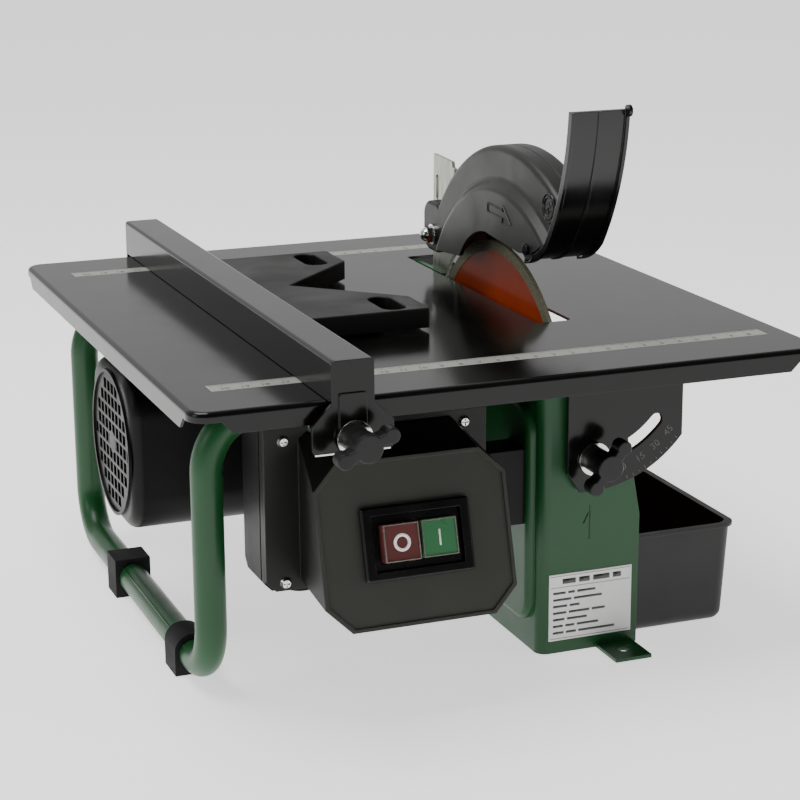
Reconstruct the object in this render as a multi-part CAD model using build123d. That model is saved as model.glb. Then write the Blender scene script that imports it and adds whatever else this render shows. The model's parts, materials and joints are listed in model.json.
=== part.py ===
"""Bench saw for tiles and stone slabs: tilting steel table, water-fed diamond blade, induction motor.

Frame: X to the right, Y to the back, Z up, millimetres.  The origin is the centre of the table's
working surface.  The bench that the saw stands on is the plane Z = -BENCH.
"""
import os
from math import cos, radians, sin, sqrt

from build123d import *

# ---------------------------------------------------------------- driving dimensions
BENCH = 165.0             # height of the working surface above the bench
TABLE_X, TABLE_Y = 330.0, 360.0
SHEET = 1.5               # table sheet
SKIRT = 11.0              # depth of the table's turned-down edge
BLADE_X = 62.5            # middle plane of the blade
BLADE_R, BLADE_T, BLADE_BORE = 90.0, 2.2, 22.2
ARBOR_Y, ARBOR_Z = -5.0, -60.5
SLOT_X = (53.0, 73.0)     # slot in the table for the blade
SLOT_Y = (-77.0, 112.0)
HINGE_X, HINGE_Z = 57.0, -8.5      # table tilt axis, along Y
ARC_R = 51.0              # quadrant slot radius about the tilt axis
ARC_REST, ARC_SPAN = -87.0, 45.0   # slot end at rest, and the slot's sweep, degrees
HOUSING_X = (32.0, 89.0)
HOUSING_Y = (-128.0, 147.0)
PLATE = 2.0               # housing sheet
PAD_X = 27.5              # face of the pressed motor pad on the housing's left wall
MOTOR_HALF, FAN_HALF = 32.5, 41.0
FAN_X = (-160.0, -74.0)
SHELL_X = (-76.0, 22.0)
GUARD_Y, GUARD_Z, GUARD_R = -35.0, -35.0, 122.0
PIVOT_Y, PIVOT_Z = 67.0, 22.0      # guard bolt on the riving knife
FLAP_Y, FLAP_Z = -77.0, 40.0       # splash flap's pin in the guard
FENCE_X = (-100.5, -79.5)
FENCE_TOP = 20.0
FENCE_Y = (-184.5, 186.5)
STUD_X, STUD_Z = -90.0, -17.0      # fence clamp stud
BOX_X, BOX_Z = (-115.0, 2.0), (-110.0, -27.0)
FACE_Y, FACE_Z, FACE_TILT = -168.0, -77.2, 16.3    # middle and tilt of the switch face
FACE_X = -52.0
LEG_X, LEG_Z, TUBE_R = -141.0, -154.0, 8.0
LEG_Y = (-117.0, 137.0)
LEG_TOP = -18.0
TANK_X = (37.0, 150.0)
TANK_Y = (-120.0, 138.0)
TANK_RIM = -109.0
LUG_X = 75.0
GAP = 0.05                # radial clearance of pins and bolts in their holes
M6, M5 = 3.0, 2.5         # bolt radii
RULER_X, RULER_Y = (-145.0, 152.0), 139.0
RULER_W, RULER_T = 11.4, 0.6
QUAD_T, QUAD_GAP = 2.5, 2.5        # quadrant plate, and its distance from the housing's wall
SHAFT_HOLE_R, BENCH_HOLE_R = 15.0, 3.0
KNIFE_T = 1.9
KNIFE_SCREWS = [(103.0, -8.5), (91.0, -8.5)]       # (Y, Z)
WASHER_R, WASHER_T = 8.7, 1.2
SHAFT_R, BEARING_R = 6.0, 16.0
FRONT_SEAT, REAR_SEAT = (15.0, 24.0), (-80.0, -71.0)   # the bearings along X
STATOR_X, ROTOR_R, STATOR_BORE = (-52.0, 0.0), 22.0, 22.6
FLANGE_R, RIM_W = 24.0, 6.0        # blade flanges, and the width of the diamond rim
GUARD_HALF, RIM_HALF, PANEL_R, WALL = 16.0, 10.0, 99.0, 2.2
FLAP_GAP = 3.2            # from the flap's outer curve to the guard's front end
PIN_R = 1.5
BRACKET_T = 2.0
BOX_FRONT, BOX_BACK, BOX_WALL = -125.0, -92.0, 2.5     # BOX_FRONT is the seam with the cover
GLAND, GLAND_R = (-92.0, -110.0), 6.0
WINDOW, BEZEL = (50.0, 31.0), (56.0, 36.0)
BUTTON, BUTTON_X = (18.4, 18.4), (-9.8, 11.0)
MODULE_DEPTH = 26.0

# ---------------------------------------------------------------- sizes that follow from them
QUAD_FRONT = (HOUSING_Y[0] - QUAD_GAP - QUAD_T, HOUSING_Y[0] - QUAD_GAP)
QUAD_REAR = (HOUSING_Y[1] + QUAD_GAP, HOUSING_Y[1] + QUAD_GAP + QUAD_T)
MOTOR_SCREWS = [(ARBOR_Y + sy * 21.0, ARBOR_Z + sz * 21.0) for sy in (-1, 1) for sz in (-1, 1)]
KNIFE_X = (BLADE_X - KNIFE_T / 2, BLADE_X + KNIFE_T / 2)
DISC = (BLADE_X - BLADE_T / 2, BLADE_X + BLADE_T / 2)
BOSS_X = (BLADE_X - RIM_HALF, BLADE_X - 1.5)
FENCE_MID = sum(FENCE_X) / 2
BOX_SCREWS = [(x, z) for x in (-105.0, -10.0) for z in (-106.0, -33.5)]


# ---------------------------------------------------------------- helpers
def block(x, y, z):
    """Box between two values on each axis."""
    return Pos(sum(x) / 2, sum(y) / 2, sum(z) / 2) * Box(x[1] - x[0], y[1] - y[0], z[1] - z[0])


def along_x(sketch, x0, x1):
    """Sketch drawn as (Y, Z), extruded from x0 to x1."""
    return extrude(Plane.YZ.offset(x0) * sketch, x1 - x0)


def along_y(sketch, y0, y1):
    """Sketch drawn as (X, Z), extruded from y0 to y1."""
    return extrude(Plane.XZ.offset(-y1) * sketch, y1 - y0)


def rod_x(x0, x1, y, z, r):
    """Cylinder along X."""
    return along_x(Pos(y, z) * Circle(r), x0, x1)


def rod_y(y0, y1, x, z, r):
    """Cylinder along Y."""
    return along_y(Pos(x, z) * Circle(r), y0, y1)


def ring_x(x0, x1, y, z, r_out, r_in):
    """Ring along X."""
    return rod_x(x0, x1, y, z, r_out) - rod_x(x0 - 1, x1 + 1, y, z, r_in)


def rounded(u, v, r):
    """Rounded rectangle between two values on each sketch axis."""
    return Pos(sum(u) / 2, sum(v) / 2) * RectangleRounded(u[1] - u[0], v[1] - v[0], r)


def hexagon(u, v, flats):
    """Hexagon of a given size across its flats."""
    return Pos(u, v) * RegularPolygon(flats / 2, 6, major_radius=False)


def polygon(points):
    """Closed outline through points."""
    return make_face(Polyline(*points, close=True))


def at_angle(u, v, r, degrees):
    """Point on a circle."""
    return (u + r * cos(radians(degrees)), v + r * sin(radians(degrees)))


def fuse(pieces):
    """Union of a list of shapes."""
    total = pieces[0]
    for piece in pieces[1:]:
        total += piece
    return total


def group(pieces):
    """Separate solids kept together as one node."""
    return Compound(children=[solid for piece in pieces for solid in piece.solids()])


# ---------------------------------------------------------------- table
def table_top():
    """Pressed pan: flat top, shallow lip at the corners, four deeper skirt flaps."""
    lip, corner_r, edge_r, flap_end = 5.0, 10.0, 2.5, 14.0
    half_x, half_y = TABLE_X / 2, TABLE_Y / 2
    pan = extrude(Pos(0, 0, -lip) * RectangleRounded(TABLE_X, TABLE_Y, corner_r), lip)
    pan = fillet(pan.faces().sort_by(Axis.Z)[-1].edges(), edge_r)
    inner = RectangleRounded(TABLE_X - 2 * SHEET, TABLE_Y - 2 * SHEET, corner_r - SHEET)
    pan -= extrude(Pos(0, 0, -lip) * inner, lip - SHEET)
    bevel = SKIRT - lip

    def flap_outline(half):
        end = half - flap_end
        return polygon([(-end, -lip), (end, -lip), (end - bevel, -SKIRT), (-end + bevel, -SKIRT)])

    front = along_y(flap_outline(half_x), -half_y, -half_y + SHEET)
    side = along_x(flap_outline(half_y), -half_x, -half_x + SHEET)
    pan = fuse([pan, front, mirror(front, Plane.XZ), side, mirror(side, Plane.YZ)])
    slot = rounded(SLOT_X, SLOT_Y, 3.0)
    pan -= extrude(Pos(0, 0, -lip) * slot, 2 * lip)
    for y in (RULER_Y, -RULER_Y):
        pan -= ruler_bar(y)
    return pan


def ruler_bar(y):
    """Printed steel strip that lies flush in a pressed recess of the table."""
    return block(RULER_X, (y - RULER_W / 2, y + RULER_W / 2), (-RULER_T, 0.0))


def quadrant(y0, y1):
    """Plate welded under the table: hangs on the tilt pin and locks on the bevel stud."""
    outer_r, left, right = 68.5, 45.0, 110.0
    low = at_angle(HINGE_X, HINGE_Z, outer_r, -94.0)
    mid = at_angle(HINGE_X, HINGE_Z, outer_r, -66.0)
    corner = (right, HINGE_Z - sqrt(outer_r ** 2 - (right - HINGE_X) ** 2))
    edge = Polyline(low, (left, -66.0), (left, -22.0), (52.0, -SHEET), (right, -SHEET), corner)
    plate = along_y(make_face(edge + ThreePointArc(corner, mid, low)), y0, y1)
    slot_r = M6 + 0.5
    ends = [at_angle(HINGE_X, HINGE_Z, ARC_R, ARC_REST + k * ARC_SPAN / 2) for k in range(3)]
    plate -= along_y(SlotArc(ThreePointArc(*ends), 2 * slot_r), y0 - 1, y1 + 1)
    return plate - rod_y(y0 - 1, y1 + 1, HINGE_X, HINGE_Z, M6 + GAP)


# ---------------------------------------------------------------- housing
def wall_outline():
    """Front and rear walls: full width at the bench, cut back and rounded at the tilt axis."""
    x0, x1 = HOUSING_X
    ear_r = 6.2
    top = -3.5
    body = polygon([(x0, -BENCH), (x1 - 0.5, -BENCH), (x1, -94.0), (76.0, -22.0), (63.0, -10.0),
                    (HINGE_X, -10.0), (HINGE_X - 5.0, top), (x0, top)])
    return body + Pos(HINGE_X, HINGE_Z) * Circle(ear_r)


def housing():
    """Folded sheet: front, left and rear walls, a pressed pad for the motor, two bench lugs."""
    x0, y0, y1 = HOUSING_X[0], HOUSING_Y[0], HOUSING_Y[1]
    bend = 6.0
    full = along_y(wall_outline(), y0, y1)
    hollow = block((x0 + PLATE, 200.0), (y0 + PLATE, y1 - PLATE), (-BENCH - 1, 1.0))
    corners = [e for e in full.edges().filter_by(Axis.Z) if e.center().X < x0 + 1]
    full = fillet(corners, bend)
    corners = [e for e in hollow.edges().filter_by(Axis.Z) if e.center().X < x0 + PLATE + 1]
    hollow = fillet(corners, bend - PLATE)
    shell = full - hollow
    pad_y, pad_z, pad_r = (-122.0, 112.0), (-150.0, -33.0), 14.0
    pad = along_x(rounded(pad_y, pad_z, pad_r), PAD_X, x0 + 1)
    shell += fillet(pad.faces().sort_by(Axis.X)[0].edges(), 3.4)
    inner = rounded((pad_y[0] + PLATE, pad_y[1] - PLATE), (pad_z[0] + PLATE, pad_z[1] - PLATE), 12.0)
    shell -= along_x(inner, PAD_X + PLATE, x0 + PLATE + 1)
    shell -= rod_x(PAD_X - 1, x0, ARBOR_Y, ARBOR_Z, SHAFT_HOLE_R)
    for y, z in MOTOR_SCREWS:
        shell -= rod_x(PAD_X - 1, x0, y, z, M5 + GAP)
    lug_x = (LUG_X - 10.0, LUG_X + 10.5)
    for edge, out in ((y0, -24.0), (y1, 24.0)):
        inside = edge - PLATE * (1 if out > 0 else -1)
        shell += block(lug_x, sorted((inside, edge + out)), (-BENCH, -BENCH + PLATE))
        shell -= Pos(LUG_X, edge + out * 0.52, -BENCH) * Cylinder(BENCH_HOLE_R, 3 * PLATE)
    stud = at_angle(HINGE_X, HINGE_Z, ARC_R, ARC_REST)
    for y in (y0, y1):
        shell -= rod_y(y - 3, y + 3, HINGE_X, HINGE_Z, M6 + GAP)
        shell -= rod_y(y - 3, y + 3, stud[0], stud[1], M6 + GAP)
    for y in LEG_Y:
        shell -= rod_x(x0 - 1, x0 + PLATE + 1, y, LEG_TOP, TUBE_R + GAP)
    mark = 0.5
    shell -= block((59.5, 60.5), (y0 - 1, y0 + mark), (-104.0, -86.0))
    barb = polygon([(60.5, -86.0), (56.0, -95.0), (56.9, -95.5), (60.5, -88.3)])
    shell -= along_y(barb, y0 - 1, y0 + mark)
    return shell


def rating_label():
    """Blank sticker on the front wall."""
    return block((37.5, 85.0), (HOUSING_Y[0] - 0.3, HOUSING_Y[0]), (-158.0, -121.5))


def knife_bracket():
    """Angle inside the housing that carries the riving knife."""
    flange = block((KNIFE_X[0] - 2.8, KNIFE_X[0]), (68.0, 111.0), (-34.0, -2.3))
    web = block((HOUSING_X[0] + PLATE, KNIFE_X[0] - 2.8), (68.0, 111.0), (-34.0, -31.5))
    plate = flange + web - rod_x(54.0, 70.0, ARBOR_Y, ARBOR_Z, BLADE_R + 4.0)
    for y, z in KNIFE_SCREWS:
        plate -= rod_x(50.0, 70.0, y, z, M5 + GAP)
    return plate


def riving_knife():
    """Plate behind the blade, in its plane, that carries the guard."""
    clear_r = BLADE_R + 5.0
    top = 65.6
    outline = polygon([(90.0, -34.0), (111.0, -34.0), (111.0, -6.0), (90.0, -6.0), (88.4, top),
                       (61.0, top - 1.0), (60.0, top - 4.0), (57.0, top - 4.5), (57.0, -34.0)])
    outline -= Pos(ARBOR_Y, ARBOR_Z) * Circle(clear_r)
    plate = along_x(outline, *KNIFE_X)
    plate -= rod_x(50.0, 70.0, PIVOT_Y, PIVOT_Z, M6 + GAP)
    plate -= along_x(Pos(83.0, 46.5) * Rot(0, 0, 90) * SlotOverall(15.0, 4.0), 50.0, 70.0)
    for y, z in KNIFE_SCREWS:
        plate -= rod_x(50.0, 70.0, y, z, M5 + GAP)
    return plate


def knife_screws():
    """Two hexagon screws with nuts through knife and bracket."""
    pieces = []
    for y, z in KNIFE_SCREWS:
        screw = rod_x(KNIFE_X[0] - 2.8, KNIFE_X[1] + 6.0, y, z, M5)
        screw += along_x(hexagon(y, z, 8.0), KNIFE_X[0] - 6.3, KNIFE_X[0] - 2.8)
        nut = along_x(hexagon(y, z, 8.0), KNIFE_X[1], KNIFE_X[1] + 4.0)
        pieces += [screw, nut - rod_x(60.0, 80.0, y, z, M5 + GAP)]
    return group(pieces)


# ---------------------------------------------------------------- tilt lock
def tilt_pins():
    """Stepped pins that carry the quadrants on the housing's ears."""
    pieces = []
    for wall, sign in ((HOUSING_Y[0], -1), (HOUSING_Y[1], 1)):
        for reach, r in (((-PLATE - 3.0, QUAD_GAP + QUAD_T + 0.5), M6), ((0.0, QUAD_GAP - 0.2), 5.2)):
            span = sorted((wall + sign * reach[0], wall + sign * reach[1]))
            pieces.append(rod_y(*span, HINGE_X, HINGE_Z, r))
        head = sorted((wall + sign * (QUAD_GAP + QUAD_T + 0.3), wall + sign * (QUAD_GAP + QUAD_T + 3.3)))
        pieces.append(rod_y(*head, HINGE_X, HINGE_Z, 5.5))
    return group([fuse(pieces[:3]), fuse(pieces[3:])])


def bevel_studs():
    """Threaded studs on the front and rear walls, each with a shoulder behind the quadrant."""
    x, z = at_angle(HINGE_X, HINGE_Z, ARC_R, ARC_REST)
    pieces = []
    for wall, sign in ((HOUSING_Y[0], -1), (HOUSING_Y[1], 1)):
        body = rod_y(*sorted((wall - sign * 4.5, wall + sign * 18.0)), x, z, M6)
        body += rod_y(*sorted((wall, wall + sign * (QUAD_GAP - 0.2))), x, z, 6.0)
        body += rod_y(*sorted((wall - sign * 4.5, wall - sign * PLATE)), x, z, 5.0)
        pieces.append(body)
    return group(pieces)


def bevel_washers():
    """Plain washers under the two bevel knobs."""
    x, z = at_angle(HINGE_X, HINGE_Z, ARC_R, ARC_REST)
    front = rod_y(QUAD_FRONT[0] - 0.2 - WASHER_T, QUAD_FRONT[0] - 0.2, x, z, WASHER_R)
    rear = rod_y(QUAD_REAR[1] + 0.2, QUAD_REAR[1] + 0.2 + WASHER_T, x, z, WASHER_R)
    hole = rod_y(-200.0, 200.0, x, z, M6 + GAP)
    return group([front - hole, rear - hole])


def wing_knob(x, z, seat, sign, lean):
    """Moulded knob with two round wings; seat is its inner face and lean the wings' angle."""
    neck_r, hub_r, lobe_r, lobe_out = 6.6, 7.0, 3.9, 12.3
    neck_end, wing_start, height = 13.0, 10.5, 18.5
    neck = rod_y(*sorted((seat, seat + sign * neck_end)), x, z, neck_r)
    wings = Pos(x, z) * Circle(hub_r)
    for turn in (0, 180):
        tip = at_angle(x, z, lobe_out, lean + turn)
        wings += Pos(*tip) * Circle(lobe_r)
        arm = Pos(*at_angle(x, z, lobe_out / 2, lean + turn)) * Rot(0, 0, lean)
        wings += arm * Rectangle(lobe_out, 5.6)
    head = along_y(wings, *sorted((seat + sign * wing_start, seat + sign * height)))
    face = head.faces().sort_by(Axis.Y)[0 if sign < 0 else -1]
    head = chamfer(face.edges(), 0.6)
    hole = rod_y(*sorted((seat - sign, seat + sign * 12.6)), x, z, M6 + GAP)
    return neck + head - hole


def bevel_knob(front):
    """Wing knob on a bevel stud."""
    x, z = at_angle(HINGE_X, HINGE_Z, ARC_R, ARC_REST)
    if front:
        return wing_knob(x, z, QUAD_FRONT[0] - 0.4 - WASHER_T, -1, 52.0)
    return wing_knob(x, z, QUAD_REAR[1] + 0.4 + WASHER_T, 1, 128.0)


# ---------------------------------------------------------------- motor
def motor_shell():
    """Aluminium barrel of the motor, rounded square in section."""
    side = (ARBOR_Y - MOTOR_HALF, ARBOR_Y + MOTOR_HALF)
    rise = (ARBOR_Z - MOTOR_HALF, ARBOR_Z + MOTOR_HALF)
    wall = 2.5
    inner_side = (side[0] + wall, side[1] - wall)
    inner_rise = (rise[0] + wall, rise[1] - wall)
    return along_x(rounded(side, rise, 9.0) - rounded(inner_side, inner_rise, 6.5), *SHELL_X)


def shield(x0, x1, pocket):
    """End plate of the motor with a bearing seat; pocket is the X span of the bearing."""
    side = (ARBOR_Y - MOTOR_HALF, ARBOR_Y + MOTOR_HALF)
    rise = (ARBOR_Z - MOTOR_HALF, ARBOR_Z + MOTOR_HALF)
    plate = along_x(rounded(side, rise, 9.0), x0, x1)
    plate += rod_x(pocket[0], pocket[1], ARBOR_Y, ARBOR_Z, BEARING_R + 3.5)
    plate -= rod_x(pocket[0] - 1, pocket[1] + 1, ARBOR_Y, ARBOR_Z, BEARING_R)
    plate -= rod_x(x0 - 1, x1 + 1, ARBOR_Y, ARBOR_Z, SHAFT_R + 3.0)
    for y, z in MOTOR_SCREWS:
        plate -= rod_x(x0 - 1, x1 + 1, y, z, M5 + GAP)
    return plate


def front_shield():
    """Motor face plate, bolted to the housing's pad."""
    return shield(SHELL_X[1], PAD_X, FRONT_SEAT)


def rear_shield():
    """Fan-side end plate."""
    return shield(SHELL_X[0] - 4.0, SHELL_X[0], REAR_SEAT)


def motor_bearings():
    """Two sealed ball bearings, each drawn as one ring that runs on the shaft."""
    return group([ring_x(*seat, ARBOR_Y, ARBOR_Z, BEARING_R, SHAFT_R + GAP)
                  for seat in (FRONT_SEAT, REAR_SEAT)])


def motor_bolts():
    """Four through bolts from the fan side to the housing's pad, with nuts inside it."""
    pieces = []
    head_x = SHELL_X[0] - 4.0
    for y, z in MOTOR_SCREWS:
        bolt = rod_x(head_x, PAD_X + PLATE + 5.0, y, z, M5)
        bolt += along_x(hexagon(y, z, 8.0), head_x - 3.5, head_x)
        nut = along_x(hexagon(y, z, 8.0), PAD_X + PLATE, PAD_X + PLATE + 4.0)
        pieces += [bolt, nut - rod_x(20.0, 40.0, y, z, M5 + GAP)]
    return group(pieces)


def stator_core():
    """Laminated stator with winding slots, clipped to the barrel."""
    half = MOTOR_HALF - 2.5
    outline = rounded((ARBOR_Y - half, ARBOR_Y + half), (ARBOR_Z - half, ARBOR_Z + half), 6.5)
    core = along_x(outline, *STATOR_X)
    core -= rod_x(STATOR_X[0] - 1, STATOR_X[1] + 1, ARBOR_Y, ARBOR_Z, STATOR_BORE)
    for y, z in MOTOR_SCREWS:
        core -= rod_x(STATOR_X[0] - 1, STATOR_X[1] + 1, y, z, M5 + GAP)
    return core


def stator_windings():
    """End turns of the windings, one ring at each end of the core."""
    left = ring_x(STATOR_X[0] - 12.0, STATOR_X[0], ARBOR_Y, ARBOR_Z, 27.0, 23.2)
    right = ring_x(STATOR_X[1], STATOR_X[1] + 10.0, ARBOR_Y, ARBOR_Z, 27.0, 23.2)
    return group([left, right])


def fan_cover():
    """Moulded cowl over the fan, with a round grille in its end face."""
    side = (ARBOR_Y - FAN_HALF, ARBOR_Y + FAN_HALF)
    rise = (ARBOR_Z - FAN_HALF, ARBOR_Z + FAN_HALF)
    wall, corner = 2.5, 20.0
    cowl = along_x(rounded(side, rise, corner), *FAN_X)
    cowl = fillet(cowl.faces().sort_by(Axis.X)[0].edges(), 6.0)
    inner = rounded((side[0] + wall, side[1] - wall), (rise[0] + wall, rise[1] - wall), corner - wall)
    cavity = along_x(inner, FAN_X[0] + wall, FAN_X[1] + 1)
    cowl -= fillet(cavity.faces().sort_by(Axis.X)[0].edges(), 3.5)
    pitch, hole, grille_r, hub_r = 7.4, 5.6, 37.0, 6.0
    cells = []
    for i in range(-5, 6):
        for j in range(-5, 6):
            u, v = (i + 0.5) * pitch, j * pitch
            if (abs(u) + hole / 2) ** 2 + (abs(v) + hole / 2) ** 2 < grille_r ** 2:
                cells.append(Pos(ARBOR_Y + u, ARBOR_Z + v) * Rectangle(hole, hole))
    hub = Pos(ARBOR_Y, ARBOR_Z) * Circle(hub_r)
    cowl -= along_x(Sketch() + cells - hub, FAN_X[0] - 1, FAN_X[0] + wall + 1)
    rim = ring_x(FAN_X[0] - 1.2, FAN_X[0] + 0.5, ARBOR_Y, ARBOR_Z, 39.0, 37.2)
    collar = along_x(rounded((side[0] + wall, side[1] - wall), (rise[0] + wall, rise[1] - wall), 17.5)
                     - rounded((ARBOR_Y - MOTOR_HALF, ARBOR_Y + MOTOR_HALF),
                               (ARBOR_Z - MOTOR_HALF, ARBOR_Z + MOTOR_HALF), 9.0),
                     FAN_X[1] - 2.0, FAN_X[1])
    return cowl + rim + collar


# ---------------------------------------------------------------- spindle
def motor_shaft():
    """Stepped shaft: fan end, rotor seat, and a threaded nose for the blade's nut."""
    shaft = rod_x(-108.0, 83.0, ARBOR_Y, ARBOR_Z, SHAFT_R)
    shaft += rod_x(REAR_SEAT[1] + 1.0, FRONT_SEAT[0] - 1.0, ARBOR_Y, ARBOR_Z, 7.5)
    return shaft


def rotor_core():
    """Squirrel-cage rotor on the shaft."""
    return ring_x(STATOR_X[0] - 3.0, STATOR_X[1] + 3.0, ARBOR_Y, ARBOR_Z, ROTOR_R, 7.5)


def cooling_fan():
    """Radial fan: hub, back disc and eight blades."""
    hub_x, disc_x = (-106.0, -92.0), (-94.0, -92.0)
    fan = rod_x(*hub_x, ARBOR_Y, ARBOR_Z, 10.0) + rod_x(*disc_x, ARBOR_Y, ARBOR_Z, 33.0)
    vane = block(hub_x, (8.0, 32.0), (-0.9, 0.9))
    for k in range(8):
        fan += Pos(0, ARBOR_Y, ARBOR_Z) * Rot(45 * k, 0, 0) * vane
    return fan - rod_x(-120.0, -80.0, ARBOR_Y, ARBOR_Z, SHAFT_R)


def inner_flange():
    """Drive flange with the pilot that centres the blade."""
    flange = rod_x(DISC[0] - 4.0, DISC[0], ARBOR_Y, ARBOR_Z, FLANGE_R)
    flange += rod_x(44.0, DISC[0] - 4.0, ARBOR_Y, ARBOR_Z, 11.0)
    flange += rod_x(DISC[0], DISC[1] - 0.2, ARBOR_Y, ARBOR_Z, BLADE_BORE / 2 - GAP)
    return flange - rod_x(40.0, 70.0, ARBOR_Y, ARBOR_Z, SHAFT_R)


def outer_flange():
    """Clamping flange on the outside of the blade, relieved at its face."""
    flange = rod_x(DISC[1], DISC[1] + 4.0, ARBOR_Y, ARBOR_Z, FLANGE_R)
    flange = chamfer(flange.faces().sort_by(Axis.X)[-1].edges(), 2.0)
    return flange - rod_x(60.0, 70.0, ARBOR_Y, ARBOR_Z, SHAFT_R)


def arbor_nut():
    """Hexagon nut that clamps the blade."""
    nut = along_x(hexagon(ARBOR_Y, ARBOR_Z, 19.0), DISC[1] + 4.0, DISC[1] + 14.0)
    return nut - rod_x(60.0, 90.0, ARBOR_Y, ARBOR_Z, SHAFT_R)


def blade_core():
    """Steel disc of the blade."""
    return ring_x(DISC[0] + 0.3, DISC[1] - 0.3, ARBOR_Y, ARBOR_Z, BLADE_R - RIM_W, BLADE_BORE / 2)


def diamond_rim():
    """Continuous diamond rim sintered onto the core."""
    return ring_x(*DISC, ARBOR_Y, ARBOR_Z, BLADE_R, BLADE_R - RIM_W)


# ---------------------------------------------------------------- guard
def guard_profile(inset):
    """Half section of the guard as (X from its seam, radius), for a shell wall inset."""
    rim, panel = RIM_HALF - inset, GUARD_HALF - inset
    groove = 0.0 if inset else 0.5
    face = polygon([(0, 0), (0, GUARD_R - inset - groove), (-groove - 0.01, GUARD_R - inset),
                    (-rim, GUARD_R - inset), (-rim, PANEL_R + 5 - inset / 2),
                    (-panel, PANEL_R - inset / 2), (-panel, 0)])
    soft = [v for v in face.vertices() if v.X < -1 and v.Y > 1]
    return fillet(soft, max(3.6 - inset, 1.0))


def guard_solid(inset):
    """Turned solid of the left half of the guard."""
    plane = Plane(origin=(BLADE_X, GUARD_Y, GUARD_Z), x_dir=(1, 0, 0), z_dir=(0, -1, 0))
    axis = Axis((0, GUARD_Y, GUARD_Z), (1, 0, 0))
    return revolve(plane * guard_profile(inset), axis, 360)


def front_curve(shift):
    """Curve of the splash flap as arcs through (Y, Z) points, shifted towards the guard."""
    points = ((-74.0, 33.6), (-88.5, 38.0), (-100.0, 46.0), (-117.5, 77.0), (-127.0, 117.0))
    normals = ((0.1, 1.0), (0.35, 0.94), (0.62, 0.78), (0.92, 0.39), (0.99, 0.15))
    return [(y + shift * v, z + shift * w) for (y, z), (v, w) in zip(points, normals)]


def guard_window():
    """Outline in (Y, Z) of what is kept of the guard: open below and in front."""
    heel, low, knee, middle, tip = front_curve(FLAP_GAP)
    front = ThreePointArc(tip, middle, knee) + ThreePointArc(knee, low, (heel[0] - 3.0, heel[1] + 0.5))
    start = front.vertices().sort_by_distance(Vector(heel[0] - 3.0, heel[1] + 0.5))[0]
    bottom = [(start.X, start.Y), (-66.0, 36.2), (-22.0, 39.5)]
    arch = ThreePointArc((-22.0, 39.5), (1.0, 32.0), (14.0, 19.5))
    rear = [(14.0, 19.5), (50.0, 16.2), (62.0, 12.5), (74.0, 14.0), (82.0, 24.0), (100.0, 60.0),
            (60.0, 130.0), tip]
    return make_face(front + Polyline(*bottom) + arch + Polyline(*rear))


def guard_screw_places():
    """The three screws as (Y, Z), between the guard's panel and its rim."""
    return [at_angle(GUARD_Y, GUARD_Z, 111.0, a) for a in (60.0, 90.0, 117.0)]


def guard_left():
    """Left half of the blade guard, with its pivot boss, flap ear and screw posts."""
    keep = along_x(guard_window(), 0.0, BLADE_X)
    shell = (guard_solid(0.0) & keep) - guard_solid(WALL)
    ear = rod_x(BLADE_X - GUARD_HALF, BLADE_X - GUARD_HALF + WALL, FLAP_Y, FLAP_Z, 5.6)
    boss = along_x(rounded((55.5, 83.0), (11.5, 40.6), 9.0), *BOSS_X)
    boss = fillet(boss.faces().sort_by(Axis.X)[0].edges(), 2.0)
    shell = shell + ear + boss
    for y, z in guard_screw_places():
        shell += rod_x(BLADE_X - RIM_HALF + 1.0, BLADE_X, y, z, 4.2)
    shell -= block((BLADE_X - 2.2, BLADE_X + 1), (30.0, 95.0), (0.0, 95.0))
    shell += along_x(rounded((55.5, 83.0), (11.5, 40.6), 9.0), BLADE_X - 2.4, BOSS_X[1])
    shell -= rod_x(20.0, 90.0, PIVOT_Y, PIVOT_Z, M6 + GAP)
    shell -= rod_x(20.0, 90.0, FLAP_Y, FLAP_Z, PIN_R + GAP)
    return shell


def guard_right():
    """Right half: mirror image of the left, drilled for the screws."""
    half = mirror(guard_left(), Plane.YZ.offset(BLADE_X))
    for y, z in guard_screw_places():
        half -= rod_x(BLADE_X - 1, BLADE_X + 20, y, z, 1.3 + GAP)
    return half


def guard_screws():
    """Three screws from the right that hold the halves together."""
    pieces = []
    outside = BLADE_X + RIM_HALF
    for y, z in guard_screw_places():
        pieces.append(rod_x(BLADE_X, outside, y, z, 1.3) + rod_x(outside, outside + 1.8, y, z, 2.8))
    return group(pieces)


def guard_bolt():
    """Pivot bolt through guard and knife: domed head on the left, thread on the right."""
    left, right = BOSS_X[0], 2 * BLADE_X - BOSS_X[0]
    bolt = rod_x(left - 1.0, right + 7.0, PIVOT_Y, PIVOT_Z, M6)
    bolt += rod_x(left - 1.4, left, PIVOT_Y, PIVOT_Z, 6.0)
    head = along_x(hexagon(PIVOT_Y, PIVOT_Z, 8.6), left - 5.0, left - 1.4)
    dome = Pos(left - 4.2, PIVOT_Y, PIVOT_Z) * Sphere(4.0)
    return bolt + head + dome


def guard_nut():
    """Lock nut on the guard bolt."""
    right = 2 * BLADE_X - BOSS_X[0]
    nut = along_x(hexagon(PIVOT_Y, PIVOT_Z, 10.0), right, right + 5.0)
    return nut - rod_x(right - 1, right + 8, PIVOT_Y, PIVOT_Z, M6 + GAP)


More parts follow.
